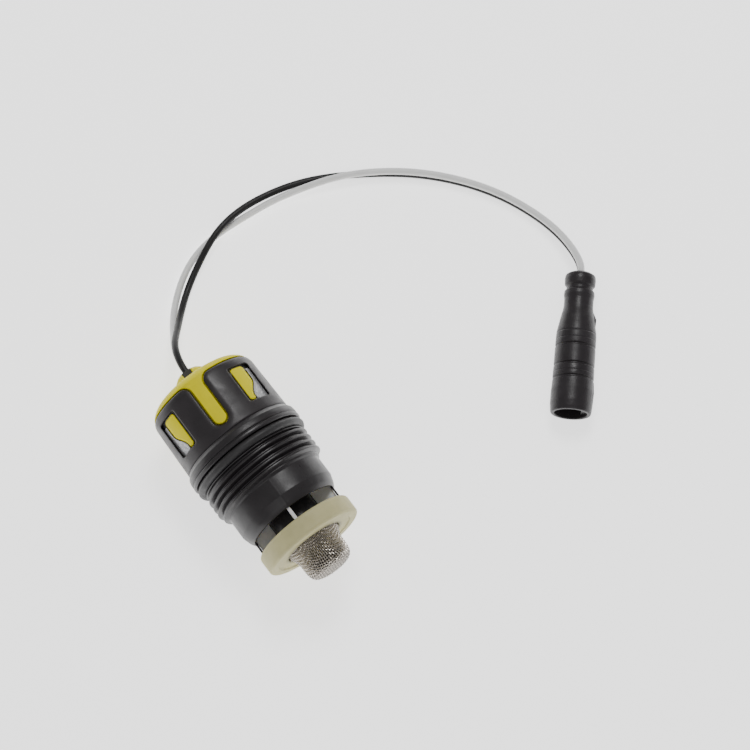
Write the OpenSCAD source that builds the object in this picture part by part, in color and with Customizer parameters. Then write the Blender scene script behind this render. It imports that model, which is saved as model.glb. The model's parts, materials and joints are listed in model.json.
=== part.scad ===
// Cartridge solenoid valve that lies on its side, with a two-wire lead and a round in-line plug.
// Each valve piece is drawn along Z, from the nose of the coil to the strainer, with z = 0 at the
// seating face under the flange. lay() turns it so that the valve's axis runs along X.
// Each plug piece is drawn along Z from its wire end to its mouth, and place_plug() lays it down.

/* [Coil cage] */
// Diameter of the cage at its foot
cage_d = 30.1; // [29.9:0.1:30.3]
// Width of the two arm slots
slot_w = 4.2; // [3.8:0.1:4.6]
// Clearance between the yellow arms and the cage
arm_gap = 0.35; // [0.2:0.05:0.5]
// Turn of the front arm away from straight up
front_turn = 8; // [0:1:20]

/* [Valve body] */
// Diameter of the flange
flange_d = 31.9; // [31.7:0.1:32.6]
// Outer diameter of the thread
thread_d = 30.2; // [29.8:0.1:30.4]
// Pitch of the thread
thread_pitch = 1.814; // [1.75:0.002:1.85]
// Diameter of the smooth neck
neck_d = 26.8; // [26.4:0.1:27.2]

/* [Inlet] */
// Outer diameter of the inlet washer
washer_d = 26.4; // [25.8:0.1:27]
// Thickness of the inlet washer
washer_t = 5.1; // [4.8:0.1:5.4]
// Diameter of the strainer's straight side
strainer_d = 12.4; // [12:0.1:12.8]

/* [Lead] */
// Diameter of each wire
wire_d = 1.8; // [1.6:0.1:1.9]
// Length of the plug
plug_l = 37.5; // [36.5:0.5:39]

/* [Hidden] */
$fn = 96;
eps = 0.01;

// Stations along the valve's axis
nose_z = -26.7;
dome_z = -22.6;
rim_z = -19.9;
plate_z = -18.9;
plate_t = 1.2;
coil_bottom = -5.3;
cage_foot = -4.1;
neck_z = 11.5;
bevel_z = 16.3;
neck_end = 19.4;
washer_z = 22.9;
washer_end = washer_z + washer_t;
strainer_end = washer_end + 8.1;
mid_z = (nose_z + strainer_end) / 2;

// Radii of the coil zone
shoulder_r = 4.5;
shoulder_c = 10.2;
shoulder_z = -18.1;
cage_r = shoulder_c + shoulder_r;
cage_in = 13.6;
leg_out = 13.25;
leg_in = 12;
bobbin_r = 11;
tube_r = 4.8;
tube_in = 4.5;

// Radii and stations of the valve zone
flange_r = flange_d / 2;
thread_r = thread_d / 2;
thread_depth = 0.64 * thread_pitch;
root_r = thread_r - thread_depth;
first_crest = 4.25;
neck_r = neck_d / 2;
outlet_bore = 11.4;
piston_bore = 9;
seat_z = 9.8;
inlet_bore = 5;
inlet_r = 6.2;
washer_bore = 7.5;

// The lead's route, from the grommet's face to the wire seal's face: control points of a smooth
// curve through the middle of the pair, each with the turn of the black wire about that middle
// and the distance between the two wires
PAIR_ROUTE = [
    [[-30.7, 0, 15.95], 98, 1.92], [[-33.6, 0, 15.95], 98, 1.92], [[-39.1, 1.5, 13.2], 90, 2.1],
    [[-44.1, 5, 6.6], 60, 2.2], [[-49.6, 9, 2.3], 25, 2.3], [[-55.1, 15, 1], 0, 2.3],
    [[-59.1, 22, 1.6], 25, 2.6], [[-61.6, 30, 2.3], 90, 2.7], [[-62.1, 38.5, 1.8], 150, 2.5],
    [[-61.6, 47, 1.1], 180, 2.2], [[-59.6, 55, 1.3], 195, 2.2], [[-56.6, 62.5, 1.9], 235, 2.2],
    [[-52.6, 70, 2], 265, 2], [[-46.1, 79.5, 1.9], 270, 1.92], [[-37.6, 88, 1.9], 270, 1.92],
    [[-27.6, 95, 1.9], 270, 1.92], [[-17.1, 99.3, 2], 270, 1.92], [[-7.6, 101, 3.4], 270, 1.92],
    [[1.5, 99.8, 5.4], 270, 1.92], [[3.8, 97.8, 5.4], 270, 1.92]
];
wire_sides = 8;

// The plug's place on the surface
plug_start = [3.8, 97.8];
plug_heading = -41.4;
plug_r = 5.4;

// Frame helpers
module lay() {
    translate([-mid_z, 0, flange_r])
        rotate([front_turn, 0, 0])
            rotate([0, 90, 0])
                rotate([0, 0, 180])
                    children();
}

module place_plug() {
    translate([plug_start[0], plug_start[1], plug_r])
        rotate([0, 0, plug_heading])
            rotate([0, 90, 0])
                children();
}

// Shape helpers
module ring(r_out, r_in, z_low, z_high) {
    difference() {
        translate([0, 0, z_low]) cylinder(r = r_out, h = z_high - z_low);
        translate([0, 0, z_low - 1]) cylinder(r = r_in, h = z_high - z_low + 2);
    }
}

module o_ring(r_centre, r_section, z_centre) {
    translate([0, 0, z_centre])
        rotate_extrude()
            translate([r_centre, 0]) circle(r = r_section, $fn = 32);
}

// Pushes a flat shape, drawn as (sideways, along the axis), out of the front and the back
module front_and_back(depth = 20) {
    for (side = [0, 180])
        rotate([0, 0, side])
            rotate([90, 0, 90])
                linear_extrude(height = depth) children();
}

function arc(centre, radius, from, to, steps) =
    [for (i = [0:steps]) let (a = from + (to - from) * i / steps)
        [centre[0] + radius * cos(a), centre[1] + radius * sin(a)]];

function spline_point(a, b, c, d, t) =
    (pow(1 - t, 3) * a + (3 * pow(t, 3) - 6 * t * t + 4) * b
        + (-3 * pow(t, 3) + 3 * t * t + 3 * t + 1) * c + pow(t, 3) * d) / 6;

function padded(points) =
    let (n = len(points))
        concat([2 * points[0] - points[1]], points, [2 * points[n - 1] - points[n - 2]]);

// Points on the smooth curve, two for each control point
function curve(points) =
    let (p = padded(points), n = len(p))
        concat(
            [for (i = [0:n - 4], t = [0, 0.5]) spline_point(p[i], p[i + 1], p[i + 2], p[i + 3], t)],
            [points[len(points) - 1]]);

function unit(v) = v / norm(v);

// Control points of one wire, to one side of the middle of the pair
function wire_route(sign) =
    let (n = len(PAIR_ROUTE))
        [for (i = [0:n - 1])
            let (t = unit(PAIR_ROUTE[min(i + 1, n - 1)][0] - PAIR_ROUTE[max(i - 1, 0)][0]),
                 side = unit(cross(t, [0, 0, 1])), up = cross(side, t), turn = PAIR_ROUTE[i][1])
                PAIR_ROUTE[i][0]
                    + sign * PAIR_ROUTE[i][2] / 2 * (cos(turn) * side + sin(turn) * up)];

module swept_wire(points) {
    path = curve(points);
    n = len(path);
    tangent = [for (i = [0:n - 1])
        unit(path[min(i + 1, n - 1)] - path[max(i - 1, 0)])];
    side = [for (i = [0:n - 1]) unit(cross(tangent[i], [0, 0, 1]))];
    up = [for (i = [0:n - 1]) cross(side[i], tangent[i])];
    verts = [for (i = [0:n - 1], k = [0:wire_sides - 1])
        let (a = 360 * k / wire_sides)
            path[i] + wire_d / 2 * (cos(a) * side[i] + sin(a) * up[i])];
    walls = [for (i = [0:n - 2], k = [0:wire_sides - 1])
        let (a = i * wire_sides + k, b = i * wire_sides + (k + 1) % wire_sides)
            [a, a + wire_sides, b + wire_sides, b]];
    start = [for (k = [0:wire_sides - 1]) k];
    finish = [for (k = [wire_sides - 1:-1:0]) (n - 1) * wire_sides + k];
    polyhedron(points = verts, faces = concat([start], walls, [finish]));
}

// A coil spring with flat-cut ends, as one swept tube
module coil_spring(r_coil, r_wire, z_low, z_high, turns) {
    per_turn = 16;
    sides = 6;
    low = z_low + r_wire;
    rise = z_high - z_low - 2 * r_wire;
    n = turns * per_turn;
    verts = [for (i = [0:n], k = [0:sides - 1])
        let (a = 360 * i / per_turn, b = 360 * k / sides)
            [(r_coil + r_wire * cos(b)) * cos(a),
             (r_coil + r_wire * cos(b)) * sin(a),
             low + rise * i / n + r_wire * sin(b)]];
    walls = [for (i = [0:n - 1], k = [0:sides - 1])
        let (a = i * sides + k, b = i * sides + (k + 1) % sides)
            [a, a + sides, b + sides, b]];
    start = [for (k = [0:sides - 1]) k];
    finish = [for (k = [sides - 1:-1:0]) n * sides + k];
    polyhedron(points = verts, faces = concat([start], walls, [finish]));
}

// Outline of the arm slots: a long slot with a round foot, open at the top between rounded corners
module slot_shape(half_w, foot_z, corner_r, top_z) {
    translate([-half_w, top_z - 5]) square([2 * half_w, foot_z - half_w - top_z + 5]);
    translate([0, foot_z - half_w]) circle(r = half_w);
    for (m = [0, 1])
        mirror([m, 0])
            translate([half_w, top_z])
                difference() {
                    translate([-eps, -eps]) square([corner_r + eps, corner_r + eps]);
                    translate([corner_r, corner_r]) circle(r = corner_r);
                }
}

window_low = -17.6;
window_high = -7.35;
window_in = 8.3;
window_out = 13.1;
corner_r = 2.4;

module window_shapes() {
    for (m = [0, 1])
        mirror([m, 0])
            translate([window_in, window_low]) square([window_out - window_in, window_high - window_low]);
}

// Outer face of the cage and of the dome above it
function shoulder(r_shift, from, to) =
    arc([shoulder_c, shoulder_z], shoulder_r + r_shift, from, to, 8);

rim_angle = asin((shoulder_z - rim_z) / shoulder_r);

module cage_cap() lay() color("#2b2a2d") {
    difference() {
        rotate_extrude()
            polygon(concat(
                [[13.1, rim_z]],
                [for (p = shoulder(0, -rim_angle, 0)) p],
                [[cage_d / 2, cage_foot - 0.9], [cage_d / 2 - 0.1, cage_foot], [cage_in, cage_foot],
                 [cage_in, -18.6]]));
        front_and_back() slot_shape(slot_w / 2, -6.3, corner_r, rim_z);
        front_and_back() window_shapes();
    }
}

// S-shaped edge of a window pad, from the top of the window to its foot
pad_low = window_low + arm_gap;
pad_high = window_high - arm_gap;
function ease(t) = let (c = min(max(t, 0), 1)) c * c * (3 - 2 * c);
function pad_edge(z) = 11.8 - 1.75 * ease((z + 13.3) / 4.6);

module pad_shapes() {
    steps = 10;
    for (m = [0, 1])
        mirror([m, 0])
            polygon(concat(
                [[window_in + arm_gap, pad_high], [window_in + arm_gap, pad_low]],
                [for (i = [0:steps])
                    let (z = pad_low + (pad_high - pad_low) * i / steps)
                        [pad_edge(z), z]]));
}

dome_rim = rim_z - arm_gap;
dome_angle = asin((shoulder_z - dome_rim) / shoulder_r);

module dome() {
    rotate_extrude()
        polygon(concat(
            [[0, plate_z - 0.05], [0, nose_z]],
            arc([1.8, nose_z + 1.9], 1.9, -90, -40, 4),
            [[4.2, -25.2], [4.75, -24.2]],
            arc([7, -24.6], 2, 170, 90, 4),
            shoulder(-0.05, -90, -dome_angle),
            [[12.9, dome_rim], [12.9, plate_z - 0.05]]));
}

panel_out = leg_out + 0.06;
panel_half = 7.9;

module panel_shape(half) polygon([[-half, -30], [half, -30], [half, 0], [-half, 0]]);

module coil_housing() lay() color("#e0d71c") {
    difference() {
        union() {
            dome();
            ring(leg_in - 0.05, bobbin_r + 0.1, plate_z + plate_t + 0.05, coil_bottom - 0.05);
            // panels between the yoke's legs, and a thin skin that carries the window pads
            intersection() {
                ring(panel_out, bobbin_r + 0.1, plate_z - 0.3, coil_bottom - 0.05);
                front_and_back() panel_shape(panel_half);
                difference() {
                    cube([60, 60, 60], center = true);
                    cube([21.1, 60, 60], center = true);
                }
            }
            intersection() {
                ring(panel_out, bobbin_r + 0.1, plate_z + plate_t + 0.05, coil_bottom - 0.05);
                front_and_back() panel_shape(panel_half);
            }
            intersection() {
                ring(cage_in - 0.1, leg_out + 0.05, -18.5, coil_bottom - 0.05);
                front_and_back() panel_shape(window_in + 1);
            }
            intersection() {
                ring(14.35, leg_out + 0.05, window_low, window_high);
                front_and_back() pad_shapes();
            }
            intersection() {
                rotate_extrude()
                    polygon(concat(
                        [[12.5, dome_rim - 0.6], [13.75, dome_rim - 0.6]],
                        shoulder(-0.3, -dome_angle, 0),
                        [[cage_d / 2 - 0.35, -6], [12.5, -6]]));
                front_and_back()
                    slot_shape(slot_w / 2 - arm_gap, -6.3 - arm_gap, corner_r + arm_gap, dome_rim);
            }
        }
        // notch for the grommet, and the pocket for the soldered terminals
        translate([-2.2, -1.3, -28]) cube([10, 2.6, 28 - 24.2]);
        translate([-2.2, -1.3, -24.3]) cube([5.8, 2.6, 3.2]);
        translate([-2.5, -4.6, -21.2]) cube([5, 9.2, 2.4]);
    }
}

module wire_grommet() lay() color("#262528") {
    translate([-2.15, -1.25, -26]) cube([5.7, 2.5, 4.7]);
}

terminal_y = 3.7;

module yoke() lay() color("#9fa2a5") {
    difference() {
        union() {
            intersection() {
                translate([0, 0, plate_z]) cylinder(r = 13.2, h = plate_t);
                cube([21, 40, 60], center = true);
            }
            intersection() {
                ring(leg_out, leg_in, plate_z + plate_t - eps, coil_bottom);
                rotate([0, 0, 90])
                    front_and_back() polygon([[-8.8, -30], [8.8, -30], [8.8, 0], [-8.8, 0]]);
            }
        }
        cylinder(r = 2.5, h = 60, center = true);
        for (side = [-1, 1])
            translate([0, side * terminal_y, plate_z]) cube([1.2, 1.7, 6], center = true);
    }
}

module flux_plate() lay() color("#85888c") {
    ring(12.8, tube_r + 0.1, coil_bottom, cage_foot);
}

module coil_bobbin() lay() color("#d8d2c0") {
    ring(5.6, tube_r + 0.05, plate_z + plate_t, coil_bottom - 0.1);
    ring(bobbin_r, tube_r + 0.05, plate_z + plate_t, plate_z + plate_t + 0.9);
    ring(bobbin_r, tube_r + 0.05, coil_bottom - 1, coil_bottom - 0.1);
}

module coil_winding() lay() color("#b4602f") {
    ring(10.6, 5.65, plate_z + plate_t + 0.95, coil_bottom - 1.05);
}

module coil_terminals() lay() color("#c9a24a") {
    for (side = [-1, 1])
        translate([-0.25, side * terminal_y - 0.5, -20.6]) cube([0.5, 1, 2.85]);
}

module fixed_core() lay() color("#7f8286") {
    translate([0, 0, plate_z + plate_t]) cylinder(r = tube_in - 0.02, h = -11.6 - plate_z - plate_t);
    translate([0, 0, plate_z]) cylinder(r = 2.45, h = plate_t + eps);
}

module guide_tube() lay() color("#c3c6c8") {
    ring(tube_r, tube_in, -16.4, -3.4 + eps);
    ring(7.8, tube_in, -3.4, -2.8);
}

module tube_retainer() lay() color("#a8abad") {
    ring(7.9, tube_r + 0.1, cage_foot + 0.02, -3.42);
}

module tube_o_ring() lay() color("#1d1d1f") o_ring(7, 0.79, -2);

plunger_end = 0.9;

module plunger() lay() color("#8d9094") {
    difference() {
        union() {
            translate([0, 0, -8.8]) cylinder(r = tube_in - 0.08, h = 7.8);
            translate([0, 0, -1 - eps]) cylinder(r = 3.2, h = plunger_end + 1 + eps);
        }
        translate([0, 0, -9.8]) cylinder(r = 2.3, h = 4.9);
        translate([0, 0, 0.3]) cylinder(r = 1.9, h = 2);
    }
}

module plunger_spring() lay() color("#c8cbcd") coil_spring(1.75, 0.22, -11.55, -4.95, 7);

module plunger_seal() lay() color("#222123") {
    translate([0, 0, 0.32]) cylinder(r = 1.88, h = 1.03);
}

// Outline of the body from the flange's top face down to the neck's foot
function crest(k) =
    let (z = first_crest + k * thread_pitch, r = k < 3 ? thread_r : thread_r - 0.15)
        [[root_r, z - 0.42 * thread_pitch], [r, z - 0.16], [r, z + 0.16],
         [root_r, z + 0.42 * thread_pitch]];

module valve_body() lay() color("#262629") {
    difference() {
        rotate_extrude()
            polygon(concat(
                [[0, cage_foot], [12.9, cage_foot], [12.9, cage_foot - 0.8], [13.5, cage_foot - 0.8],
                 [13.5, cage_foot], [15.05, cage_foot], [15.15, -3.8], [15.7, -3.1],
                 [flange_r - 0.05, -2.1], [flange_r - 0.05, -1.45], [flange_r - 0.35, -1.25],
                 [flange_r, -1.05], [flange_r, -0.35], [flange_r - 0.3, 0], [13.4, 0], [13.4, 2.6],
                 [14.9, 2.6], [14.9, 3], [root_r, 3.3]],
                [for (k = [0:3], p = crest(k)) p],
                [[root_r, 10.6], [neck_r, neck_z], [neck_r, bevel_z]],
                arc([5.4, 14.9], 8, 10, 34, 6),
                [[12.05, neck_end], [0, neck_end]]));
        translate([0, 0, cage_foot - 1]) cylinder(r = 8, h = -1.2 - cage_foot + 1);
        translate([0, 0, -2]) cylinder(r = 6, h = 3);
        cylinder(r = piston_bore, h = neck_z);
        translate([0, 0, neck_z - eps]) cylinder(r1 = piston_bore, r2 = outlet_bore, h = 1.2);
        translate([0, 0, neck_z + 1.1]) cylinder(r = outlet_bore, h = 10);
    }
    intersection() {
        ring(11.9, 11.42, neck_end - 1, washer_z);
        cube([2.6, 40, 60], center = true);
    }
}

module flange_o_ring() lay() color("#1b1b1d") o_ring(14.62, 1.2, 1.3);

piston_top = 4.2;

module servo_piston() lay() color("#d5d3c6") {
    difference() {
        union() {
            translate([0, 0, piston_top]) cylinder(r = piston_bore - 0.07, h = 3.8);
            translate([0, 0, 8 - eps]) cylinder(r = 2, h = 1.7);
            translate([0, 0, 1.4]) cylinder(r = 1.4, h = 3);
        }
        ring(12, 7.9, 4.95, 6.45);
        translate([0, 0, 1]) cylinder(r = 0.5, h = 6.1);
        translate([0, 0, 7.1]) rotate([0, 90, 0]) cylinder(r = 0.5, h = 12);
        translate([0, 3.4, 3]) cylinder(r = 0.3, h = 8);
    }
}

module piston_ring() lay() color("#1f1f21") ring(piston_bore - 0.03, 7.93, 4.98, 6.42);

module piston_spring() lay() color("#c8cbcd") coil_spring(6.8, 0.33, 0.03, piston_top - 0.03, 3);

module seat_disc() lay() color("#232224") {
    difference() {
        ring(6.5, 2.02, 8.02, seat_z - 0.05);
        translate([0, 3.4, 7]) cylinder(r = 0.35, h = 4);
    }
}

module inlet_tube() lay() color("#2a292c") {
    ring(inlet_r, inlet_bore, seat_z, 25);
    ring(washer_bore - 0.05, inlet_bore, washer_z, 25);
}

vane_top = 12.9;

module outlet_vanes() lay() color("#c9c7cb") {
    ring(7.4, inlet_r + 0.05, vane_top, vane_top + 2);
    for (k = [0:3])
        rotate([0, 0, 90 * k])
            intersection() {
                translate([inlet_r + 0.6, -0.45, vane_top]) cube([8, 0.9, washer_z - vane_top]);
                cylinder(r = 11.35, h = 40);
            }
}

washer_edge = 0.9;

module inlet_washer() lay() color("#c9c6a3") {
    rotate_extrude()
        polygon(concat(
            [[washer_bore, washer_z]],
            arc([washer_d / 2 - washer_edge, washer_z + washer_edge], washer_edge, -90, 0, 5),
            arc([washer_d / 2 - washer_edge, washer_end - washer_edge], washer_edge, 0, 90, 5),
            [[10.7, washer_end], [10.4, washer_end - 0.35], [washer_bore, washer_end - 0.35]]));
}

module strainer_ring() lay() color("#b5b8ba") ring(washer_bore - 0.08, 6.3, 25.05, washer_end - 1.7);

strainer_r = strainer_d / 2;
mesh_t = 0.4;

function strainer_side(shrink) = [
    [7.42 - shrink, washer_end - 1.65 + shrink / 4], [7.42 - shrink, washer_end - 0.8],
    [7 - shrink, washer_end + 0.1], [6.5 - shrink, washer_end + 0.8],
    [strainer_r + 0.05 - shrink, washer_end + 1.8], [strainer_r - shrink, washer_end + 3.2],
    [strainer_r - 0.15 - shrink, strainer_end - 2.3], [5.8 - shrink, strainer_end - 1.1 - shrink / 2],
    [5.1 - shrink, strainer_end - 0.4 - shrink], [4 - shrink, strainer_end - 0.1 - shrink],
    [0, strainer_end - shrink]
];

module strainer() lay() color("#b9b4ae") {
    outside = strainer_side(0);
    inside = strainer_side(mesh_t);
    n = len(inside);
    rotate_extrude() polygon(concat(outside, [for (i = [n - 1:-1:0]) inside[i]]));
}

// The plug, from its wire end
function groove(z, depth) = [[barrel_r, z - 0.35], [barrel_r - depth, z - 0.12],
    [barrel_r - depth, z + 0.12], [barrel_r, z + 0.35]];

barrel_r = plug_r - 0.22;
socket_z = 28.4;
socket_r = 4.1;

module plug_shell() place_plug() color("#2c2b2d") {
    difference() {
        union() {
            rotate_extrude()
                polygon(concat(
                    [[0, 0], [2.6, 0], [3.5, 0.35], [3.9, 1], [4, 2], [3.9, 3.1], [3.4, 3.6],
                     [3.35, 4.4], [3.8, 4.9], [3.9, 5.6], [3.85, 6.4], [3.75, 7], [3.75, 9],
                     [3.95, 10.3], [4.35, 12.1], [4.75, 14.2], [5.1, 16.2]],
                    groove(18.2, 0.1), groove(20, 0.25), groove(25.1, 0.25), groove(27, 0.1),
                    groove(28.6, 0.25),
                    [[plug_r, 31.5], [plug_r, plug_l - 0.7], [plug_r - 0.5, plug_l], [0, plug_l]]));
            translate([0, plug_r - 1, 32]) cube([2.2, 2.3, 5.8], center = true);
            translate([0, 4, 12.4]) cube([1.8, 1.9, 2.6], center = true);
        }
        translate([0, 0, -1]) cylinder(r = 2.05, h = 5);
        translate([0, 0, 3.9]) cylinder(r = 2.6, h = socket_z - 3.8);
        translate([0, 0, socket_z]) cylinder(r = socket_r, h = 20);
    }
}

module wire_seal() place_plug() color("#1c1c1e") {
    cylinder(r = 2, h = 3.9);
}

module plug_insert() place_plug() color("#1f1e20") {
    difference() {
        union() {
            translate([0, 0, 12]) cylinder(r = 2.55, h = socket_z - 11.9);
            translate([0, 0, socket_z + 0.05]) cylinder(r = socket_r - 0.05, h = 1.5);
            intersection() {
                translate([0, 0, socket_z + 1.5]) cylinder(r = socket_r - 0.05, h = 6.6);
                translate([-5, 2.6, socket_z]) cube([10, 5, 9]);
            }
        }
        for (side = [-1, 1])
            translate([side * 1.1, 0, 11]) cylinder(r = 0.62, h = 20);
    }
}

module plug_contacts() place_plug() color("#cfb15a") {
    for (side = [-1, 1])
        translate([side * 1.1, 0, 9]) {
            cylinder(r = 0.6, h = 24);
            translate([0, 0, 24]) cylinder(r1 = 0.6, r2 = 0.35, h = 0.8);
        }
}

module black_wire() color("#1e1d1f") swept_wire(wire_route(1));

module white_wire() color("#e4e3e1") swept_wire(wire_route(-1));

cage_cap();
coil_housing();
wire_grommet();
yoke();
flux_plate();
coil_bobbin();
coil_winding();
coil_terminals();
fixed_core();
guide_tube();
tube_retainer();
tube_o_ring();
plunger();
plunger_spring();
plunger_seal();
valve_body();
flange_o_ring();
servo_piston();
piston_ring();
piston_spring();
seat_disc();
inlet_tube();
outlet_vanes();
inlet_washer();
strainer_ring();
strainer();
plug_shell();
plug_insert();
plug_contacts();
wire_seal();
black_wire();
white_wire();
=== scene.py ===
"""Cartridge solenoid valve with a two-wire lead and an in-line plug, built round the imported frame."""

import json
import math

import bmesh
import bpy
import numpy as np
from mathutils import Matrix, Vector


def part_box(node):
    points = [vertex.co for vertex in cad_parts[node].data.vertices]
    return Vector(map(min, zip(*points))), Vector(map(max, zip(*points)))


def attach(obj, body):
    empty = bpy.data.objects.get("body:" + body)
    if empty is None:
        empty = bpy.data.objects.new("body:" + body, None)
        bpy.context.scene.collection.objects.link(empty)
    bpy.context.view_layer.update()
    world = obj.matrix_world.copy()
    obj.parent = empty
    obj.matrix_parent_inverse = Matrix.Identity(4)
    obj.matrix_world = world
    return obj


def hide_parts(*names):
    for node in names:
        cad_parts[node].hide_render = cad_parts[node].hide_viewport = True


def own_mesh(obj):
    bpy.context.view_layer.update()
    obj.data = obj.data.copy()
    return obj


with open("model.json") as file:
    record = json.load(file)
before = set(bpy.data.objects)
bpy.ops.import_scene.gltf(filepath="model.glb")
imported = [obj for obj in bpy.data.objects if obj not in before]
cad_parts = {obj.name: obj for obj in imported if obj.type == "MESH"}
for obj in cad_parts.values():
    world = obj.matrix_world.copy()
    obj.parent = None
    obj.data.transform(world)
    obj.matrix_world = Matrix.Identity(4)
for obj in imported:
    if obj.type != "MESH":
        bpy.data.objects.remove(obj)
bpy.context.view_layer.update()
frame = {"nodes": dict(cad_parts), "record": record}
MM = 0.001

# Millimetres, as in the CAD. Stations along the valve count from the underside of its flange.
WASHER_START = 22.9
FRONT_TURN = math.radians(8)
PLUG_LENGTH = 37.5
WIRE_D = 1.8


def mount(name):
    """One of the record's mounts, by its name."""
    return next(m for m in frame["record"]["mounts"] if m["name"] == name)


flange_low, flange_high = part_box("valve_body")
SEAT_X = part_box("inlet_washer")[0].x - WASHER_START * MM
AXIS_Z = (flange_low.z + flange_high.z) / 2
# Valve pieces are drawn in millimetres: x towards the front arm, z along the axis to the strainer
LAY = (
    Matrix.Translation((SEAT_X, 0, AXIS_Z))
    @ Matrix.Rotation(FRONT_TURN, 4, "X")
    @ Matrix.Rotation(math.pi / 2, 4, "Y")
    @ Matrix.Rotation(math.pi, 4, "Z")
    @ Matrix.Scale(MM, 4)
)
plug_mouth, plug_axis = Vector(mount("plug_mouth")["pos_m"]), Vector(mount("plug_mouth")["axis"])
PLUG = (
    Matrix.Translation(plug_mouth - plug_axis * PLUG_LENGTH * MM)
    @ Matrix.Rotation(math.atan2(plug_axis.y, plug_axis.x), 4, "Z")
    @ Matrix.Rotation(math.pi / 2, 4, "Y")
    @ Matrix.Scale(MM, 4)
)


# ---------------------------------------------------------------- mesh tools
SIDE_SHARE = 0.48  # the most of a side that one rounded corner may use
SHARP = math.radians(50)
SETTLING_STEPS = 3


def rounded(corners, steps=4):
    """A closed outline from corners (x, y, radius), each rounded off."""
    outline = []
    for i, (x, y, radius) in enumerate(corners):
        here = np.array((x, y), float)
        before = np.array(corners[i - 1][:2]) - here
        after = np.array(corners[(i + 1) % len(corners)][:2]) - here
        if radius == 0:
            outline.append((x, y))
            continue
        before_len, after_len = np.linalg.norm(before), np.linalg.norm(after)
        before, after = before / before_len, after / after_len
        half = math.acos(np.clip(before @ after, -1, 1)) / 2
        reach = min(radius / math.tan(half), SIDE_SHARE * before_len, SIDE_SHARE * after_len)
        actual = reach * math.tan(half)
        centre = here + (before + after) / np.linalg.norm(before + after) * actual / math.sin(half)
        start, finish = here + before * reach - centre, here + after * reach - centre
        first = math.atan2(start[1], start[0])
        turn = (math.atan2(finish[1], finish[0]) - first + math.pi) % (2 * math.pi) - math.pi
        for k in range(steps + 1):
            angle = first + turn * k / steps
            outline.append((centre[0] + actual * math.cos(angle),
                            centre[1] + actual * math.sin(angle)))
    return outline


def arc(centre, radius, first, last, steps):
    """Points on an arc between two angles in degrees."""
    angles = [math.radians(first + (last - first) * k / steps) for k in range(steps + 1)]
    return [(centre[0] + radius * math.cos(a), centre[1] + radius * math.sin(a)) for a in angles]


def lathe(outline, segments=144, bend=None, sweep=None):
    """Vertices and faces of a closed outline (r, z), turned about the axis or through part of it."""
    first, last = sweep or (0, 2 * math.pi)
    columns = segments + 1 if sweep else segments
    angles = first + (last - first) * np.arange(columns) / segments
    r, z = (np.repeat(np.array(outline)[:, k:k + 1], columns, 1) for k in (0, 1))
    angle = np.repeat(angles[None, :], len(outline), 0)
    if bend:
        r, z = bend(r, z, angle)
    verts = np.stack((r * np.cos(angle), r * np.sin(angle), z), -1).reshape(-1, 3)
    rows = len(outline)
    faces = [
        (i * columns + j, i * columns + (j + 1) % columns,
         (i + 1) % rows * columns + (j + 1) % columns, (i + 1) % rows * columns + j)
        for i in range(rows) for j in range(segments)
    ]
    if sweep:
        faces += [tuple(i * columns + j for i in range(rows)) for j in (0, columns - 1)]
    return verts, faces


def joined(*parts):
    """Several sets of vertices and faces as one."""
    verts, faces, start = [], [], 0
    for part_verts, part_faces in parts:
        verts.append(part_verts)
        faces += [tuple(k + start for k in face) for face in part_faces]
        start += len(part_verts)
    return np.concatenate(verts), faces


def tubes(paths, radius, sides):
    """Vertices and faces of round strands along paths of points and normals."""
    parts = []
    around = np.arange(sides) * 2 * math.pi / sides
    cos, sin = np.cos(around)[None, :, None], np.sin(around)[None, :, None]
    for points, normals in paths:
        along = np.gradient(points, axis=0)
        along /= np.linalg.norm(along, axis=1)[:, None]
        across = np.cross(along, normals)
        across /= np.linalg.norm(across, axis=1)[:, None]
        up = np.cross(across, along)
        rings = points[:, None] + radius * (cos * across[:, None] + sin * up[:, None])
        n = len(points)
        faces = [(i * sides + k, i * sides + (k + 1) % sides, (i + 1) * sides + (k + 1) % sides,
                  (i + 1) * sides + k) for i in range(n - 1) for k in range(sides)]
        faces += [tuple(range(sides)), tuple((n - 1) * sides + k for k in range(sides))]
        parts.append((rings.reshape(-1, 3), faces))
    return joined(*parts)


def outline_distance(outline, x, y):
    """Distance to a closed outline, negative inside it."""
    nearest, inside = np.full(x.shape, 1e9), np.zeros(x.shape, bool)
    for (ax, ay), (bx, by) in zip(outline, outline[1:] + outline[:1]):
        ex, ey = bx - ax, by - ay
        t = np.clip(((x - ax) * ex + (y - ay) * ey) / (ex * ex + ey * ey), 0, 1)
        nearest = np.minimum(nearest, (x - ax - ex * t) ** 2 + (y - ay - ey * t) ** 2)
        if ay != by:
            inside ^= ((ay > y) != (by > y)) & (x < ex * (y - ay) / ey + ax)
    return np.where(inside, -1, 1) * np.sqrt(nearest)


def cut(a, b, r):
    """What two fields share, its new edge rounded to r."""
    return np.minimum(-r, np.maximum(a, b)) + np.hypot(np.maximum(a + r, 0), np.maximum(b + r, 0))


def blend(a, b, r):
    """Two fields together, the corner between them filled to r."""
    return np.maximum(r, np.minimum(a, b)) - np.hypot(np.maximum(r - a, 0), np.maximum(r - b, 0))


def block(x, y, z, middle, half, corner):
    """Distance to a box with rounded corners."""
    reach = [np.abs(v - m) - h + corner for v, m, h in zip((x, y, z), middle, half)]
    outside = np.sqrt(sum(np.maximum(v, 0) ** 2 for v in reach))
    return outside + np.minimum(np.maximum(np.maximum(reach[0], reach[1]), reach[2]), 0) - corner


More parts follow.
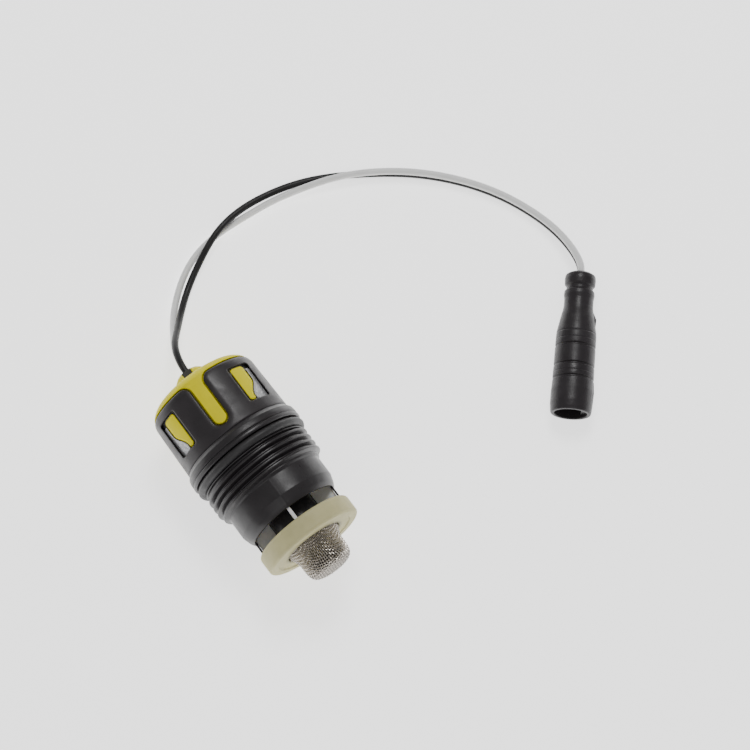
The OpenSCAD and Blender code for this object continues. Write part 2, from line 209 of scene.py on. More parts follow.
def skin(field, low, high, step):
    """The surface where a field is zero: vertices, faces and normals."""
    axes = [a - step * 1.5 + step * np.arange(int((b - a) / step) + 5) for a, b in zip(low, high)]
    value = field(*np.meshgrid(*axes, indexing="ij"))
    inside = value < 0
    shape = tuple(n - 1 for n in value.shape)

    def corner(grid, i, j, k):
        return grid[i:shape[0] + i, j:shape[1] + j, k:shape[2] + k]

    # one vertex in each cell that the surface crosses, at the middle of its crossings
    corners = [(i, j, k) for i in (0, 1) for j in (0, 1) for k in (0, 1)]
    filled = sum(corner(inside, *c).astype(np.int8) for c in corners)
    mixed = (filled > 0) & (filled < 8)
    index = np.full(shape, -1)
    index[mixed] = np.arange(mixed.sum())
    cells = np.argwhere(mixed)
    total, count = np.zeros((len(cells), 3)), np.zeros((len(cells), 1))
    at = {c: corner(value, *c)[mixed] for c in corners}
    for c in corners:
        for axis in range(3):
            if c[axis]:
                continue
            other = tuple(1 if k == axis else c[k] for k in range(3))
            crossing = (at[c] < 0) != (at[other] < 0)
            place = np.tile(np.array(c, float), (len(cells), 1))
            place[crossing, axis] = at[c][crossing] / (at[c][crossing] - at[other][crossing])
            total[crossing] += place[crossing]
            count[crossing] += 1
    verts = np.array([a[0] for a in axes]) + (cells + total / count) * step

    # the vertices then settle on the surface along its slope
    def slope(points):
        reach = step * 0.1
        return np.stack([
            field(*(points + reach * np.eye(3)[k]).T) - field(*(points - reach * np.eye(3)[k]).T)
            for k in range(3)], 1) / (2 * reach)

    for _ in range(SETTLING_STEPS):
        steep = slope(verts)
        move = field(*verts.T)[:, None] * steep / np.maximum((steep**2).sum(1), 0.25)[:, None]
        verts -= np.clip(move, -step / 2, step / 2)
    # one face round each edge of the grid that the surface crosses
    faces = []
    for axis in range(3):
        one, two = [k for k in range(3) if k != axis]
        upper = tuple(slice(1, None) if k == axis else slice(None) for k in range(3))
        lower = tuple(slice(None, -1) if k == axis else slice(None) for k in range(3))
        places = np.argwhere(inside[upper] != inside[lower])
        places = places[(places[:, one] > 0) & (places[:, two] > 0)]
        ring = []
        for back_one, back_two in ((0, 0), (1, 0), (1, 1), (0, 1)):
            cell = places.copy()
            cell[:, one] -= back_one
            cell[:, two] -= back_two
            ring.append(index[tuple(cell.T)])
        faces += np.stack(ring, 1).tolist()
    steep = slope(verts)
    return verts, faces, steep / np.linalg.norm(steep, axis=1)[:, None]


def add_piece(name, parts, matrix, look, node):
    """One visual piece in place of a CAD node, from vertices and faces, and normals if it has any."""
    verts, faces, *normals = parts
    mesh = bpy.data.meshes.new(name)
    mesh.from_pydata(verts.tolist(), [], faces)
    work = bmesh.new()
    work.from_mesh(mesh)
    bmesh.ops.recalc_face_normals(work, faces=work.faces)
    work.to_mesh(mesh)
    work.free()
    mesh.transform(matrix)
    mesh.shade_smooth()
    piece = bpy.data.objects.new(name, mesh)
    bpy.context.scene.collection.objects.link(piece)
    if normals:
        turned = normals[0] @ np.array(matrix.to_3x3().normalized()).T
        mesh.normals_split_custom_set_from_vertices(turned.tolist())
    else:
        mesh.set_sharp_from_angle(angle=SHARP)
        weighted = piece.modifiers.new("weighted", "WEIGHTED_NORMAL")
        weighted.keep_sharp = True
    mesh.materials.append(look)
    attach(piece, "body")
    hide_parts(node)
    return piece


# ---------------------------------------------------------------- materials
ROUGH_SPREAD = 0.08


def make_look(name, colour, rough, grain=0.25, bump=0.012, spread=0.15, mottle=4, metal=0.0,
              flecks=None, soft=0.0, rim=None, shine=0.5):
    """A procedural surface: fine grain in the bump, slow mottling in the colour and the gloss.

    Grain, mottle and bump are in millimetres. Flecks are (size, share left bare, colour), and
    rim paints shade as a darker ring round the valve's axis: (radius, width, colour).
    """
    mat = bpy.data.materials.new(name)
    mat.use_nodes = True
    nodes, links = mat.node_tree.nodes, mat.node_tree.links
    shader = nodes["Principled BSDF"]
    place = nodes.new("ShaderNodeTexCoord").outputs["Object"]

    def noise(size, detail=3.0):
        texture = nodes.new("ShaderNodeTexNoise")
        links.new(place, texture.inputs["Vector"])
        texture.inputs["Scale"].default_value = 1 / (size * MM)
        texture.inputs["Detail"].default_value = detail
        return texture.outputs["Fac"]

    def remap(source, low, high, to_low, to_high):
        node = nodes.new("ShaderNodeMapRange")
        links.new(source, node.inputs["Value"])
        keys = ("From Min", "From Max", "To Min", "To Max")
        for key, value in zip(keys, (low, high, to_low, to_high)):
            node.inputs[key].default_value = value
        return node.outputs["Result"]

    def mix(factor, a, b):
        node = nodes.new("ShaderNodeMix")
        node.data_type = "RGBA"
        links.new(factor, node.inputs["Factor"])
        for socket, value in ((node.inputs[6], a), (node.inputs[7], b)):
            if isinstance(value, tuple):
                socket.default_value = (*value, 1)
            else:
                links.new(value, socket)
        return node.outputs[2]

    dark = tuple(c * (1 - spread) for c in colour)
    light = tuple(min(1, c * (1 + spread)) for c in colour)
    shade = mix(remap(noise(mottle), 0.3, 0.7, 0, 1), dark, light)
    if flecks:
        size, edge, fleck = flecks
        shade = mix(remap(noise(size, 2), edge, edge + 0.06, 0, 1), shade, fleck)
    # painted shade: a darker ring round the valve's axis at the given radius
    if rim:
        radius, width, painted_shade_colour = rim
        apart = nodes.new("ShaderNodeSeparateXYZ")
        links.new(place, apart.inputs["Vector"])
        lift = nodes.new("ShaderNodeMath")
        lift.operation = "SUBTRACT"
        links.new(apart.outputs["Z"], lift.inputs[0])
        lift.inputs[1].default_value = AXIS_Z
        flat = nodes.new("ShaderNodeCombineXYZ")
        links.new(apart.outputs["Y"], flat.inputs["X"])
        links.new(lift.outputs["Value"], flat.inputs["Y"])
        length = nodes.new("ShaderNodeVectorMath")
        length.operation = "LENGTH"
        links.new(flat.outputs["Vector"], length.inputs[0])
        near = remap(length.outputs["Value"], radius * MM, (radius + width) * MM, 1, 0)
        shade = mix(near, shade, painted_shade_colour)
    links.new(shade, shader.inputs["Base Color"])
    gloss = remap(noise(mottle * 0.6), 0.3, 0.7, rough - ROUGH_SPREAD, rough + ROUGH_SPREAD)
    links.new(gloss, shader.inputs["Roughness"])
    shader.inputs["Metallic"].default_value = metal
    shader.inputs["Specular IOR Level"].default_value = shine
    if soft:
        shader.inputs["Subsurface Weight"].default_value = soft
        shader.inputs["Subsurface Radius"].default_value = (1, 0.8, 0.5)
        shader.inputs["Subsurface Scale"].default_value = 0.4 * MM
    relief = nodes.new("ShaderNodeBump")
    relief.inputs["Strength"].default_value = 1
    relief.inputs["Distance"].default_value = bump * MM
    links.new(noise(grain, 4), relief.inputs["Height"])
    links.new(relief.outputs["Normal"], shader.inputs["Normal"])
    return mat


black_plastic = make_look("satin_black", (0.026, 0.0225, 0.0245), 0.4, grain=0.3, bump=0.02, mottle=5,
                          shine=0.35)
body_plastic = make_look("body_black", (0.021, 0.0185, 0.020), 0.34, grain=0.35, bump=0.012, mottle=6,
                         shine=0.4)
yellow_plastic = make_look("yellow", (0.76, 0.675, 0.0), 0.5, grain=0.4, bump=0.012, spread=0.05,
                           shine=0.12)
rubber_black = make_look("black_rubber", (0.022, 0.021, 0.022), 0.5, grain=0.2, bump=0.02)
plug_plastic = make_look("plug_black", (0.025, 0.0215, 0.024), 0.36, grain=0.5, bump=0.03, shine=0.3)
# The washer's colour holds painted shade: a darker ring at its bore, next to the strainer
cream_rubber = make_look("cream_rubber", (0.52, 0.48, 0.245), 0.62, grain=0.3, bump=0.02, spread=0.06,
                         mottle=3, soft=0.15, rim=(7.5, 1.1, (0.18, 0.17, 0.09)))
mesh_steel = make_look("mesh_steel", (0.52, 0.475, 0.42), 0.28, grain=0.3, bump=0.01, metal=1.0,
                       mottle=1)
# painted shade: a near-black sheet stands where the strainer shows only shade through its weave
painted_shade_liner_look = make_look("painted_shade_liner", (0.012, 0.010, 0.009), 0.8, grain=0.25, bump=0.05, mottle=1)
white_wire_look = make_look("white_insulation", (0.84, 0.84, 0.83), 0.45, grain=0.4, bump=0.01,
                            spread=0.04)
black_wire_look = make_look("black_insulation", (0.014, 0.0135, 0.014), 0.45, grain=0.4, bump=0.01,
                            shine=0.3)
vane_plastic = make_look("vane_plastic", (0.80, 0.79, 0.80), 0.45, grain=0.3, bump=0.01,
                         spread=0.06, soft=0.3)
plated_steel = make_look("plated_steel", (0.40, 0.40, 0.41), 0.5, grain=0.35, bump=0.03, spread=0.2,
                         mottle=0.8, metal=0.3, flecks=(0.5, 0.54, (0.62, 0.62, 0.63)))
spring_looks = {
    "plunger_spring": make_look("spring_steel", (0.62, 0.63, 0.64), 0.3, metal=1.0),
    "piston_spring": make_look("spring_wire", (0.62, 0.63, 0.64), 0.3, metal=1.0),
}
# For the CAD nodes that show as they are
NODE_LOOKS = {
    "wire_grommet": make_look("grommet_black", (0.03, 0.029, 0.03), 0.55, bump=0.02),
    "flux_plate": make_look("plate_steel", (0.4, 0.4, 0.41), 0.42, metal=0.9, bump=0.02),
    "coil_bobbin": make_look("bobbin_plastic", (0.62, 0.58, 0.46), 0.45, spread=0.05),
    "coil_winding": make_look("copper_wire", (0.62, 0.25, 0.10), 0.32, bump=0.04, metal=0.9),
    "coil_terminals": make_look("tinned_brass", (0.66, 0.55, 0.28), 0.35, metal=1.0),
    "fixed_core": make_look("core_steel", (0.45, 0.46, 0.47), 0.3, metal=1.0),
    "guide_tube": make_look("tube_steel", (0.6, 0.61, 0.62), 0.25, metal=1.0),
    "tube_retainer": make_look("retainer_steel", (0.5, 0.51, 0.52), 0.35, metal=1.0),
    "tube_o_ring": rubber_black,
    "plunger": make_look("plunger_steel", (0.47, 0.48, 0.5), 0.28, metal=1.0),
    "plunger_seal": rubber_black,
    "servo_piston": make_look("piston_acetal", (0.72, 0.70, 0.62), 0.38, spread=0.04),
    "piston_ring": rubber_black,
    "seat_disc": rubber_black,
    "inlet_tube": body_plastic,
    "strainer_ring": make_look("ring_steel", (0.55, 0.56, 0.57), 0.35, metal=1.0),
    "plug_insert": make_look("insert_black", (0.02, 0.0195, 0.02), 0.4),
    "plug_contacts": make_look("contact_gold", (0.75, 0.55, 0.2), 0.3, metal=1.0, spread=0.08),
    "wire_seal": rubber_black,
}


# ---------------------------------------------------------------- camera
def make_camera():
    """A long lens that looks down at the object from beyond the strainer."""
    azimuth, elevation = math.radians(53.69), math.radians(72.54)
    aim, distance = Vector((-4.4, 38.6, 10)) * MM, 0.8
    look = Vector((
        -math.sin(azimuth) * math.cos(elevation),
        math.cos(azimuth) * math.cos(elevation),
        -math.sin(elevation),
    ))
    data = bpy.data.cameras.new("camera")
    data.sensor_width, data.lens = 36, 152.8
    data.clip_start, data.clip_end = 0.01, 10
    camera = bpy.data.objects.new("camera", data)
    bpy.context.scene.collection.objects.link(camera)
    camera.location = aim - look * distance
    camera.rotation_euler = look.to_track_quat("-Z", "Y").to_euler()
    bpy.context.scene.camera = camera


make_camera()

# ---------------------------------------------------------------- plug
# Outline corners are (radius, station from the wire end, corner radius)
plug_outline = rounded([
    (2.05, 0.1, 0.2), (2.9, 0.02, 0.5), (3.85, 0.6, 0.8), (4.0, 1.8, 0.8), (3.9, 3.2, 0.5),
    (3.4, 3.7, 0.3), (3.4, 4.5, 0.3), (3.85, 5.0, 0.4), (3.92, 6.0, 0.5), (3.75, 7.1, 0.6),
    (3.75, 9.0, 1.5), (3.92, 10.2, 1.5), (4.35, 12.1, 3), (4.72, 14.1, 3), (5.1, 16.15, 0.5),
    (5.0, 16.4, 0.1), (5.12, 16.65, 0.2), (5.15, 18.05, 0.1), (5.08, 18.2, 0.05), (5.15, 18.35, 0.1),
    (5.16, 19.65, 0.15), (4.85, 19.85, 0.1), (4.85, 20.15, 0.1), (5.17, 20.35, 0.15),
    (5.2, 24.75, 0.15), (4.88, 24.95, 0.1), (4.88, 25.25, 0.1), (5.22, 25.45, 0.15),
    (5.24, 26.85, 0.08), (5.16, 27.0, 0.05), (5.25, 27.15, 0.08), (5.25, 28.25, 0.15),
    (4.95, 28.45, 0.1), (4.95, 28.75, 0.1), (5.27, 28.95, 0.15), (5.3, 30.4, 1), (5.4, 31.6, 1),
    (5.4, 35, 1), (5.28, 36.4, 1), (5.12, PLUG_LENGTH, 0.45), (4.1, PLUG_LENGTH, 0.3),
    (4.1, 28.4, 0.2), (2.6, 28.4, 0.2), (2.6, 3.95, 0.2), (2.05, 3.9, 0.1),
], 3)


def plug_bend(r, z, angle):
    """A low rib near the mouth and a short bump on the neck, both on the same side."""
    across = np.abs(r * np.cos(angle))
    on_side = (np.sin(angle) > 0) & (r > 3.3)

    def raised(half_width, edge, start, start_ramp, end, end_ramp):
        return (np.clip((half_width - across) / edge, 0, 1) * np.clip((z - start) / start_ramp, 0, 1)
                * np.clip((end - z) / end_ramp, 0, 1))

    rib = 0.14 * raised(1.15, 0.25, 28.9, 0.3, 34.9, 0.5) * (r > 4.6)
    bump = 0.45 * raised(0.95, 0.35, 10.9, 0.6, 13.6, 0.5)
    return r + on_side * (rib + bump), z


add_piece("plug_casing", lathe(plug_outline, 144, plug_bend), PLUG, plug_plastic,
          "plug_shell")

# ---------------------------------------------------------------- cords
# The pair's route, as in the CAD: middle of the pair, turn of the black wire about it, distance apart
PAIR_ROUTE = [
    [(-30.7, 0, 15.95), 98, 1.92], [(-33.6, 0, 15.95), 98, 1.92], [(-39.1, 1.5, 13.2), 90, 2.1],
    [(-44.1, 5, 6.6), 60, 2.2], [(-49.6, 9, 2.3), 25, 2.3], [(-55.1, 15, 1), 0, 2.3],
    [(-59.1, 22, 1.6), 25, 2.6], [(-61.6, 30, 2.3), 90, 2.7], [(-62.1, 38.5, 1.8), 150, 2.5],
    [(-61.6, 47, 1.1), 180, 2.2], [(-59.6, 55, 1.3), 195, 2.2], [(-56.6, 62.5, 1.9), 235, 2.2],
    [(-52.6, 70, 2), 265, 2], [(-46.1, 79.5, 1.9), 270, 1.92], [(-37.6, 88, 1.9), 270, 1.92],
    [(-27.6, 95, 1.9), 270, 1.92], [(-17.1, 99.3, 2), 270, 1.92], [(-7.6, 101, 3.4), 270, 1.92],
    [(1.5, 99.8, 5.4), 270, 1.92], [(3.8, 97.8, 5.4), 270, 1.92],
]


def wire_route(sign):
    """Control points of one wire, to one side of the middle of the pair."""
    middles = [Vector(point) for point, _, _ in PAIR_ROUTE]
    points, last = [], len(middles) - 1
    for i, (_, turn, apart) in enumerate(PAIR_ROUTE):
        along = (middles[min(i + 1, last)] - middles[max(i - 1, 0)]).normalized()
        side = along.cross(Vector((0, 0, 1))).normalized()
        up = side.cross(along)
        angle = math.radians(turn)
        away = side * math.cos(angle) + up * math.sin(angle)
        points.append(middles[i] + away * (sign * apart / 2))
    return points


def smooth_curve(points, steps=8):
    """Points on the uniform cubic B-spline that the CAD sweeps its wires along."""
    p = [2 * points[0] - points[1], *points, 2 * points[-1] - points[-2]]
    path = []
    for a, b, c, d in zip(p, p[1:], p[2:], p[3:]):
        for t in (k / steps for k in range(steps)):
            path.append((
                (1 - t) ** 3 * a + (3 * t**3 - 6 * t * t + 4) * b
                + (-3 * t**3 + 3 * t * t + 3 * t + 1) * c + t**3 * d
            ) / 6)
    return path + [points[-1]]


def make_wire(name, sign, look):
    """One wire of the pair, with the point where it leaves the valve and its length."""
    path = [p * MM for p in smooth_curve(wire_route(sign))]
    data = bpy.data.curves.new(name, "CURVE")
    data.dimensions = "3D"
    # the points' radius carries the wire's thickness, because it also sets the curve's box
    data.bevel_depth, data.bevel_resolution = 1, 6
    data.use_fill_caps = True
    spline = data.splines.new("POLY")
    spline.points.add(len(path) - 1)
    for point, place in zip(spline.points, path):
        point.co = (*place, 1)
        point.radius = WIRE_D / 2 * MM
    wire = bpy.data.objects.new(name, data)
    bpy.context.scene.collection.objects.link(wire)
    length = sum((b - a).length for a, b in zip(path, path[1:]))
    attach(wire, "body")
    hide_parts(name.replace("_lead", "_wire"))
    data.materials.append(look)
    return wire, path[0], length


black_lead, black_exit, black_length = make_wire("black_lead", 1, black_wire_look)
white_lead, white_exit, white_length = make_wire("white_lead", -1, white_wire_look)

# ---------------------------------------------------------------- coil cage and coil housing
CAGE_RIM, CAGE_FOOT, SLOT_FOOT = -19.95, -4.1, -8.4
SHOULDER, SHOULDER_R = (10.2, -18.1), 4.5
SLOT_HALF, ARM_HALF = 2.1, 1.75
SLOT_CHAMFER = 0.9
WINDOW_Y, WINDOW_Z, WINDOW_HALF = 10.7, -12.475, (30, 2.4, 5.125)
PANEL_IN, PANEL_OUT, PANEL_FOOT = 11.1, 13.3, -5.35


def slot_distance(y, z, half):
    """Distance to the arm slot: straight sides and a round foot."""
    return np.where(z > SLOT_FOOT, np.hypot(y, z - SLOT_FOOT), np.abs(y)) - half


def cage_field(x, y, z):
    """The moulded cage: a tapered wall with a round shoulder, two arm slots and four windows."""
    foot = rounded([(13.6, -18.6, 0), (13.6, CAGE_FOOT, 0.25), (15.05, CAGE_FOOT, 0.4),
                    (14.7, -18.1, 0)])
    walls = [*foot[1:-1], *arc(SHOULDER, SHOULDER_R, 0, -34, 10), (12.9, -20.7), (12.9, -19.6),
             (13.6, -18.6)]
    r = np.hypot(x, y)
    wall = outline_distance(walls, r, z)
    slot = slot_distance(y, z, SLOT_HALF)
    rim = CAGE_RIM - z
    open_wall = cut(-slot, rim, 2.4)
    slope = np.interp(z, (-22, SHOULDER[1], -4), (14.2, 14.7, 15.05))
    shoulder = np.hypot(r - SHOULDER[0], z - SHOULDER[1]) - SHOULDER_R
    outer = np.where(z > SHOULDER[1], r - slope, shoulder)
    edge = -cut(-slot, rim - SLOT_CHAMFER, 2.9)
    chamfer = 0.932 * outer + 0.3624 * (SLOT_CHAMFER - edge)
    field = cut(wall, chamfer, 0.25)
    field = cut(field, open_wall, 0.3)
    windows = block(x, np.abs(y), z, (0, WINDOW_Y, WINDOW_Z), WINDOW_HALF, 0.5)
    return cut(field, -windows, 0.3)


add_piece("cage", skin(cage_field, (-15.2, -15.2, -20.1), (15.2, 15.2, CAGE_FOOT), 0.2), LAY,
          black_plastic, "cage_cap")

# Outline corners are (radius, station, corner radius) from here on
HUB = [(0, -26.6, 0), (1.8, -26.6, 1.2), (3.0, -26.1, 0.8), (4.0, -25.3, 0.8), (4.7, -24.2, 0.6),
       (5.0, -22.6, 1.9), (10.2, -22.58, 0)]


def pad_edge(z):
    """The S-shaped side of the window pads."""
    ease = np.clip((z + 13.3) / 4.6, 0, 1)
    return 11.8 - 1.75 * ease**2 * (3 - 2 * ease)


def yoke_field(x, y, z):
    """The strap with its two curved legs, each with faces that stand up into the windows."""
    r, side = np.hypot(x, y), np.abs(y)
    plate = cut(cut(np.abs(z + 18.3) - 0.6, r - 13.2, 0.15), np.abs(x) - 10.5, 0.15)
    plate = np.maximum(plate, 2.5 - r)
    slots = np.maximum(np.abs(x) - 0.6, np.abs(side - 3.7) - 0.85)
    plate = np.maximum(plate, -slots)
    legs = cut(np.abs(r - 12.625) - 0.625, np.abs(x) - 8.8, 0.15)
    legs = cut(legs, np.abs(z + 12.1) - 6.8, 0.15)
    face = cut(cut(np.abs(z + 12) - 4.4, side - 12.93, 0.3), pad_edge(z) + 0.22 - side, 0.25)
    face = cut(np.maximum(np.abs(r - 13.65) - 0.45, 4 - np.abs(x)), face, 0.15)
    return np.minimum(np.minimum(plate, legs), face)


def housing_field(x, y, z):
    """The yellow overmoulding: nose hub, two arms, panels behind the cage and window pads."""
    r, side = np.hypot(x, y), np.abs(y)
    shell = [*rounded(HUB)[1:-1], *arc(SHOULDER, SHOULDER_R - 0.06, -88, -30, 12),
             *arc(SHOULDER, SHOULDER_R - 0.33, -22, 0, 4), (14.7, -6), (12.7, -6), (12.7, -17.7),
             (0, -17.7), (0, -26.6)]
    outside = outline_distance(shell, r, z)
    arm = slot_distance(y, z, ARM_HALF)
    cross = blend(z + 20.25, arm, 2.75)
    cover = cut(outside, np.minimum(cross, np.where(r < 13.2, r - 13.2, 9)), 0.25)
    hollow = outline_distance([(0, -18.95), (13.25, -18.95), (13.25, 0), (0, 0)], r, z)
    cover = np.maximum(cover, -hollow)

    def ring_wall(outer, top):
        return outline_distance([(PANEL_IN, top), (outer, top), (outer, PANEL_FOOT),
                                 (PANEL_IN, PANEL_FOOT)], r, z)

    panel = cut(ring_wall(PANEL_OUT, -19.0), side - 7.9, 0.15)
    liner = ring_wall(11.95, -17.65)
    pad = cut(cut(side - pad_edge(z), 8.65 - side, 0.3), np.abs(z - WINDOW_Z) - 4.775, 0.7)
    pad = cut(cut(r - 14.35, PANEL_OUT - r, 0.15), pad, 0.3)
    pad = np.maximum(pad, 6 - np.abs(x))
    field = np.minimum(np.minimum(cover, panel), np.minimum(liner, pad))
    notch = block(x, y, z, (1.5, 0, -26), (3.7, 1.24, 1.75), 0.2)
    pocket = block(x, y, z, (0, 0, -20), (2.5, 4.6, 1.2), 0.1)
    tunnel = block(x, y, z, (0.7, 0, -22.7), (2.9, 1.3, 1.7), 0.1)
    field = cut(field, -notch, 0.15)
    return np.maximum(np.maximum(field, -pocket), -tunnel)


add_piece("coil_cover", skin(housing_field, (-14.9, -14.6, -26.7), (14.9, 14.6, -5.3), 0.25), LAY,
          yellow_plastic, "coil_housing")
add_piece("strap", skin(yoke_field, (-12, -13.3, -18.9), (12, 13.3, -5.3), 0.2), LAY,
          plated_steel, "yoke")

# ---------------------------------------------------------------- valve body
PITCH, ROOT, CREST, TURNS = 1.814, 13.94, 15.1, 3.9
THREAD_START, SUNK = 3.34, 0.3
RINGS_PER_TURN = 96
MOULD_LINE_TURN, MOULD_LINE_WIDTH = 0.02, 0.014


def parting_bend(r, z, angle):
    """A faint mould line down the front and the back of the neck."""
    beyond = (angle + MOULD_LINE_TURN) % math.pi
    line = np.exp(-((np.minimum(beyond, math.pi - beyond) / MOULD_LINE_WIDTH) ** 2))
    return r + 0.07 * line * ((z > 11.5) & (z < 19) & (r > 12.3)), z


def thread_ridge():
    """The helical ridge of the thread, which sinks into the body at both ends."""
    form = rounded([(ROOT - SUNK, -0.86, 0), (ROOT, -0.8, 0.25), (CREST, -0.26, 0.2),
                    (CREST, 0.26, 0.2), (ROOT, 0.8, 0.25), (ROOT - SUNK, 0.86, 0)], 3)
    rings = int(TURNS * RINGS_PER_TURN) + 1
    verts = []
    for k in range(rings):
        turn = TURNS * k / (rings - 1)
        height = min(1, turn / 0.2, (TURNS - turn) / 0.3)
        angle = 2 * math.pi * (turn + 0.5)
        for r, z in form:
            low = ROOT - SUNK + (r - ROOT + SUNK) * (0.2 + 0.8 * height)
            station = THREAD_START + turn * PITCH + z
            verts.append((low * math.cos(angle), low * math.sin(angle), station))
    n = len(form)
    faces = [(i * n + k, i * n + (k + 1) % n, (i + 1) * n + (k + 1) % n, (i + 1) * n + k)
             for i in range(rings - 1) for k in range(n)]
    faces += [tuple(range(n)), tuple((rings - 1) * n + k for k in range(n))]
    return np.array(verts), faces


body_outline = rounded([
    (8, -4.1, 0.15), (12.9, -4.1, 0.1), (12.9, -4.9, 0.1), (13.5, -4.9, 0.1), (13.5, -4.1, 0.1),
    (15.0, -4.1, 0.15), (15.2, -3.7, 0.3), (15.75, -3.0, 0.5), (15.9, -2.1, 0.3), (15.9, -1.5, 0.25),
    (15.55, -1.22, 0.1), (15.95, -0.98, 0.25), (15.95, -0.35, 0.3), (15.65, 0, 0.3), (13.4, 0, 0.2),
    (13.4, 2.6, 0.2), (14.75, 2.6, 0.2), (14.6, 2.95, 0.15), (ROOT, 3.15, 0.2),
    (ROOT, 10.65, 0.3), (13.42, 11.2, 0.5), (13.4, 16.3, 0.5), (12.75, 18.4, 3), (12.1, 19.4, 0.2),
    (11.42, 19.4, 0.15), (11.42, 12.65, 0.3), (9, 11.5, 0.3), (9, 0, 0.3), (6, 0, 0.2), (6, -1.2, 0.2),
    (8, -1.2, 0.2),
])
LEG_IN, LEG_OUT, LEG_END, LEG_HALF_ANGLE = 11.44, 11.92, 22.88, 0.11
leg_outline = rounded([(LEG_IN, 18.2, 0), (LEG_OUT, 18.2, 0), (LEG_OUT, LEG_END, 0.15),
                       (LEG_IN, LEG_END, 0.1)], 3)
legs = [lathe(leg_outline, 12, sweep=(turn - LEG_HALF_ANGLE, turn + LEG_HALF_ANGLE))
        for turn in (math.pi / 2, -math.pi / 2)]
add_piece("threaded_body", joined(lathe(body_outline, 360, parting_bend), thread_ridge(), *legs), LAY,
          body_plastic, "valve_body")

# The O-ring is round, with a narrow flash line on its outside
seal_round = [(14.62 + 1.2 * math.cos(k * math.pi / 14), 1.3 + 1.2 * math.sin(k * math.pi / 14))
              for k in range(2, 27)]
seal_outline = [(15.84, 1.4), (15.79, 1.54), *seal_round, (15.79, 1.06), (15.84, 1.2)]
add_piece("flange_seal", lathe(seal_outline, 160), LAY, rubber_black, "flange_o_ring")


# ---------------------------------------------------------------- outlet and inlet
def vanes_field(x, y, z):
    """Four flat vanes at right angles, joined by a collar."""
    r = np.hypot(x, y)
    sides = np.minimum(np.abs(x), np.abs(y))
    reach = np.maximum(r - 11.3, 6.3 - r)
    vanes = cut(cut(sides - 0.45, reach, 0.15), np.abs(z - 17.9) - 4.98, 0.15)
    collar = cut(np.abs(r - 6.82) - 0.55, np.abs(z - 13.9) - 0.98, 0.15)
    return blend(vanes, collar, 0.3)


add_piece("vanes", skin(vanes_field, (-11.4, -11.4, 12.8), (11.4, 11.4, 22.9), 0.17), LAY,
          vane_plastic, "outlet_vanes")

washer_outline = rounded([
    (7.5, 22.92, 0.2), (13.2, 22.92, 0.95), (13.2, 28, 0.85), (10.75, 28, 0.15), (10.45, 27.65, 0.2),
    (7.5, 27.65, 0.35),
], 6)
add_piece("washer", lathe(washer_outline, 160), LAY, cream_rubber, "inlet_washer")

WEAVE, STRAND, WAVE = 0.7, 0.145, 0.15
SHADE_LINER_SEGMENTS = 96
# The strainer's side view, (radius, station) from the middle of its end to its rim
profile = np.array([(0, 35.8), (2.6, 35.76), (4.2, 35.55), (5.3, 34.95), (5.82, 33.9), (6.0, 32.4),
                    (6.02, 30.6), (6.12, 29.8), (6.55, 28.7), (6.95, 27.9), (7.1, 27.1), (7.12, 26.5)])


def profile_curve():
    """The side view as close points on a smooth curve, with their lengths along it."""
    t = np.linspace(0, len(profile) - 1, 400)
    base = np.minimum(t.astype(int), len(profile) - 2)
    pad = np.vstack((profile[1] * (-1, 1), profile, 2 * profile[-1] - profile[-2]))
    u = (t - base)[:, None]
    a, b, c, d = (pad[base + k] for k in range(4))
    points = 0.5 * (2 * b + (c - a) * u + (2 * a - 5 * b + 4 * c - d) * u**2
                    + (3 * b - a - 3 * c + d) * u**3)
    lengths = np.concatenate(([0], np.cumsum(np.linalg.norm(np.diff(points, axis=0), axis=1))))
    return points, lengths


side_points, side_lengths = profile_curve()
side_slope = np.gradient(side_points, side_lengths, axis=0)


def on_strainer(u, v, lift):
    """A point of the flat cloth, laid over the strainer's form and lifted off it."""
    s, angle = np.hypot(u, v), np.arctan2(v, u)
    r = np.interp(s, side_lengths, side_points[:, 0])
    z = np.interp(s, side_lengths, side_points[:, 1])
    dr = np.interp(s, side_lengths, side_slope[:, 0])
    dz = np.interp(s, side_lengths, side_slope[:, 1])
    normal = np.stack((-dz * np.cos(angle), -dz * np.sin(angle), dr), -1)
    normal /= np.linalg.norm(normal, axis=1)[:, None]
    return np.stack((r * np.cos(angle), r * np.sin(angle), z), -1) + normal * lift[:, None], normal


def woven_strands():
    """Paths of the strands both ways, each passing over and under the ones that it crosses."""
    limit = side_lengths[-1]
    count = int(limit / WEAVE)
    paths = []
    for along_u in (True, False):
        for k in range(-count, count + 1):
            fixed = (k + 0.5) * WEAVE
            if abs(fixed) >= limit - 0.3:
                continue
            reach = math.sqrt(limit**2 - fixed**2)
            ticks = np.arange(-int(reach / WEAVE * 2), int(reach / WEAVE * 2) + 1) * WEAVE / 2
            phase = ticks / WEAVE - 0.5 + k + (0 if along_u else 1)
            lift = WAVE * np.cos(math.pi * phase)
            level = np.full_like(ticks, fixed)
            u, v = (ticks, level) if along_u else (level, ticks)
            paths.append(on_strainer(u, v, lift))
    return paths


# A dark sheet inside the woven strands paints the shade seen through the weave: its outer face, then
# its inner face back
painted_shade_liner = [(max(r - 0.42 - t, 0), z - 0.32 - t / 2) for t, points in (
    (0, side_points[::16]), (0.12, side_points[::-16])) for r, z in points][1:-1]
strainer_parts = joined(tubes(woven_strands(), STRAND, 6), lathe(painted_shade_liner, SHADE_LINER_SEGMENTS))
strainer_piece = add_piece("strainer_mesh", strainer_parts, LAY, mesh_steel,
                           "strainer")
# the dark sheet inside the strands takes the painted-shade look
strainer_piece.data.materials.append(painted_shade_liner_look)
for polygon in strainer_piece.data.polygons[-SHADE_LINER_SEGMENTS * len(painted_shade_liner):]:
    polygon.material_index = 1


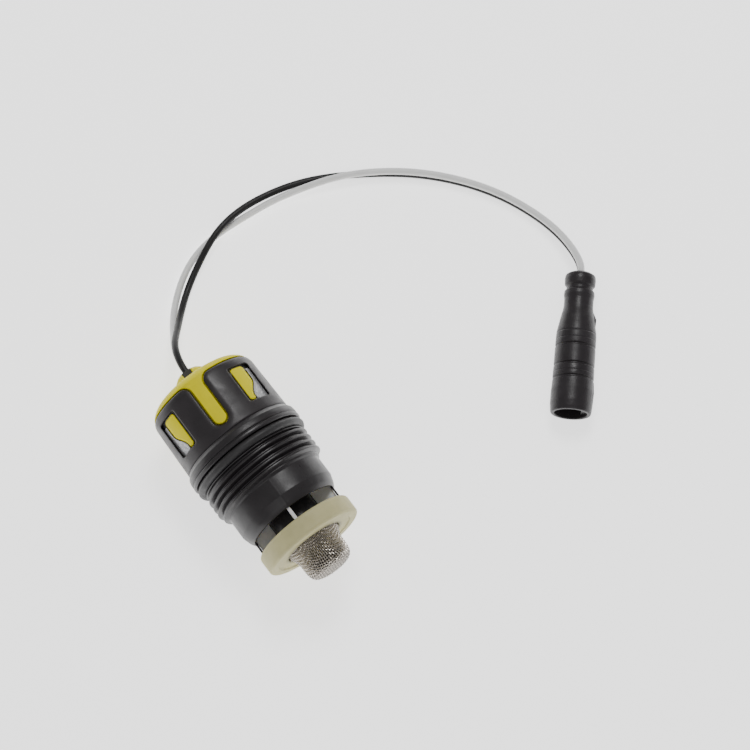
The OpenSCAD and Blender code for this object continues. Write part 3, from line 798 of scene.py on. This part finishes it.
# ---------------------------------------------------------------- springs
def coil_spring(name, radius, wire, low, high, turns):
    """A wire spring coiled from its low end to its high end."""
    per_turn = 40
    first, last, ticks = low + wire, high - wire, np.arange(turns * per_turn + 1)
    angles = ticks * 2 * math.pi / per_turn
    rise = first + (last - first) * ticks / ticks[-1]
    spokes = np.stack((np.cos(angles), np.sin(angles), 0 * angles), -1)
    points = spokes * radius + np.stack((0 * rise, 0 * rise, rise), -1)
    spring = add_piece(name + "_wire", tubes([(points, spokes)], wire, 12), LAY,
                       spring_looks[name], name)
    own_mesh(spring)


coil_spring("plunger_spring", 1.75, 0.22, -11.55, -4.95, 7)
coil_spring("piston_spring", 6.8, 0.33, 0.03, 4.17, 3)


# ---------------------------------------------------------------- stage
OBJECT_MIDDLE = Vector((-0.01, 0.03, 0.01))
FLOOR_HALF, FLOOR_GLOW, STUDIO_GLOW = 2.0, 1.6, 0.36


def add_light(name, place, size, power):
    """A soft square lamp that faces the object."""
    data = bpy.data.lights.new(name, "AREA")
    data.shape, data.size, data.energy = "SQUARE", size, power
    lamp = bpy.data.objects.new(name, data)
    bpy.context.scene.collection.objects.link(lamp)
    lamp.location = place
    aim = OBJECT_MIDDLE - lamp.location
    lamp.rotation_euler = aim.to_track_quat("-Z", "Y").to_euler()


def make_stage():
    """A plain pale floor, even light from all round, and two soft lamps."""
    mesh = bpy.data.meshes.new("floor")
    corners = [(x * FLOOR_HALF, y * FLOOR_HALF, 0) for x, y in ((-1, -1), (1, -1), (1, 1), (-1, 1))]
    mesh.from_pydata(corners, [], [(0, 1, 2, 3)])
    floor = bpy.data.objects.new("floor", mesh)
    bpy.context.scene.collection.objects.link(floor)
    mat = bpy.data.materials.new("floor_paper")
    mat.use_nodes = True
    bsdf = mat.node_tree.nodes["Principled BSDF"]
    bsdf.inputs["Base Color"].default_value = (0.9, 0.9, 0.9, 1)
    bsdf.inputs["Roughness"].default_value = 0.9
    bsdf.inputs["Emission Color"].default_value = (1, 1, 1, 1)
    bsdf.inputs["Emission Strength"].default_value = FLOOR_GLOW
    mesh.materials.append(mat)
    world = bpy.data.worlds.new("studio")
    bpy.context.scene.world = world
    world.use_nodes = True
    background = world.node_tree.nodes["Background"]
    background.inputs["Color"].default_value = (1, 1, 1, 1)
    background.inputs["Strength"].default_value = STUDIO_GLOW
    add_light("key", (-0.3, 0.3, 0.75), 0.28, 3.2)
    add_light("fill", (0.5, -0.3, 0.7), 0.6, 1)


make_stage()

for name, node in frame["nodes"].items():
    if name in NODE_LOOKS:
        node.data.materials.clear()
        node.data.materials.append(NODE_LOOKS[name])
